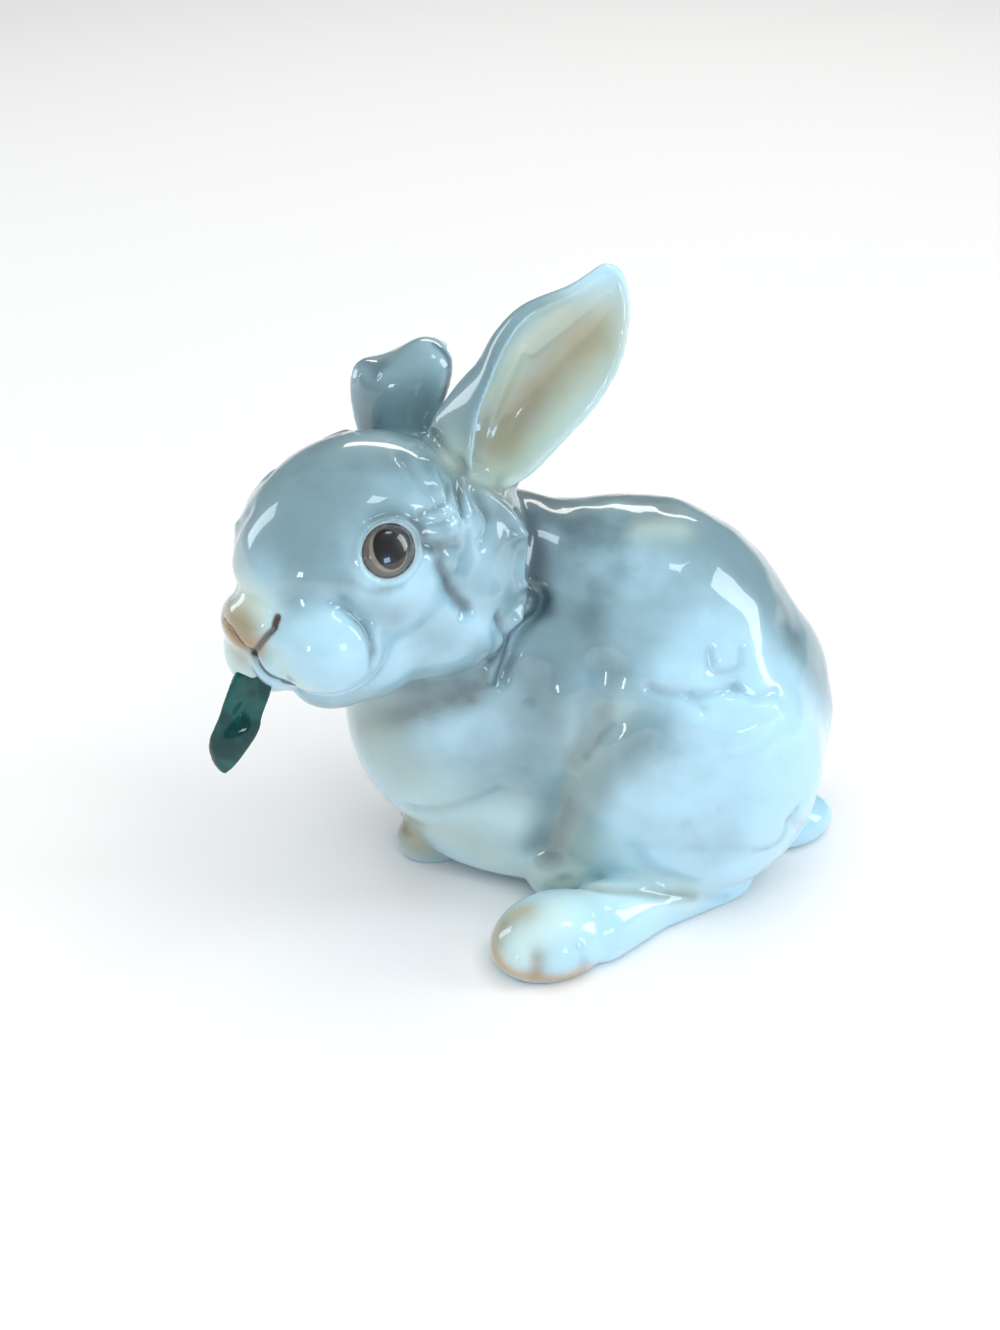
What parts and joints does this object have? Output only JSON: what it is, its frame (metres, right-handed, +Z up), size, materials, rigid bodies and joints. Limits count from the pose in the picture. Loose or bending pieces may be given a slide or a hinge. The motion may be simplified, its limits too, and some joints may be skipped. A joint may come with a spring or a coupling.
{
  "type": "rabbit figurine",
  "caption": "Glazed porcelain rabbit crouching with its head turned to one side, one ear up and one folded, holding a leaf in its mouth; stands by its own weight as an ornament.",
  "frame": {"origin": "centre of the bounding box on the surface that the figurine stands on", "axes": "the body faces -X, +Z is up and the side that the head turns to is -Y"},
  "size_m": [0.1414, 0.1106, 0.1497],
  "materials": {
    "porcelain": "glazed porcelain, pale blue-white with airbrushed blue-grey shading, ochre inside the ear and a dark green leaf, high gloss"
  },
  "bodies": {
    "root": {"rabbit": "porcelain"}
  },
  "joints": []
}
